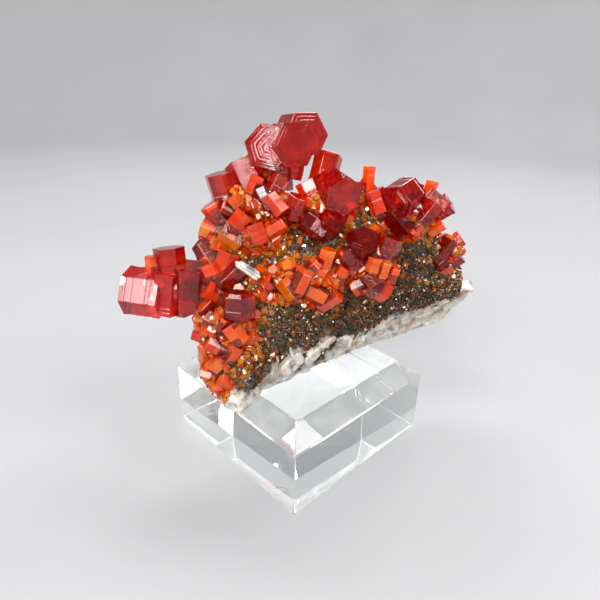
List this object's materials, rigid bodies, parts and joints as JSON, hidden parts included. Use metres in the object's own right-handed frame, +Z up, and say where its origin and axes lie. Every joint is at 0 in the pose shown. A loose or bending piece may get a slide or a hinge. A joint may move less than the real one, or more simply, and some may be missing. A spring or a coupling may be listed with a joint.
{
  "type": "vanadinite on barite mineral specimen with display block",
  "caption": "Red six-sided vanadinite crystals grown on a broken barite plate, standing on a clear square display block with a bevelled top.",
  "frame": {"origin": "centre of the display block's underside", "axes": "+Z up, display side towards -Y, +X to the viewer's right; the block stands on one corner towards the viewer, so its sides run at 45 degrees to X and Y"},
  "size_m": [0.075, 0.0538, 0.0672],
  "materials": {
    "acrylic": "clear cast acrylic, polished",
    "barite": "rough white and tan barite with a dark druse",
    "vanadinite": "glassy deep red to orange crystal"
  },
  "bodies": {
    "root": {"acrylic_block": "acrylic", "barite_matrix": "barite", "vanadinite_tower": "vanadinite", "vanadinite_left_arm": "vanadinite", "vanadinite_lower_left": "vanadinite", "vanadinite_front_row": "vanadinite", "vanadinite_centre": "vanadinite", "vanadinite_right_front": "vanadinite", "vanadinite_right_top": "vanadinite", "vanadinite_far_right": "vanadinite", "vanadinite_small_prism": "vanadinite", "vanadinite_back_upper": "vanadinite", "vanadinite_back_middle": "vanadinite", "vanadinite_back_right": "vanadinite", "vanadinite_back_left": "vanadinite"}
  },
  "joints": []
}
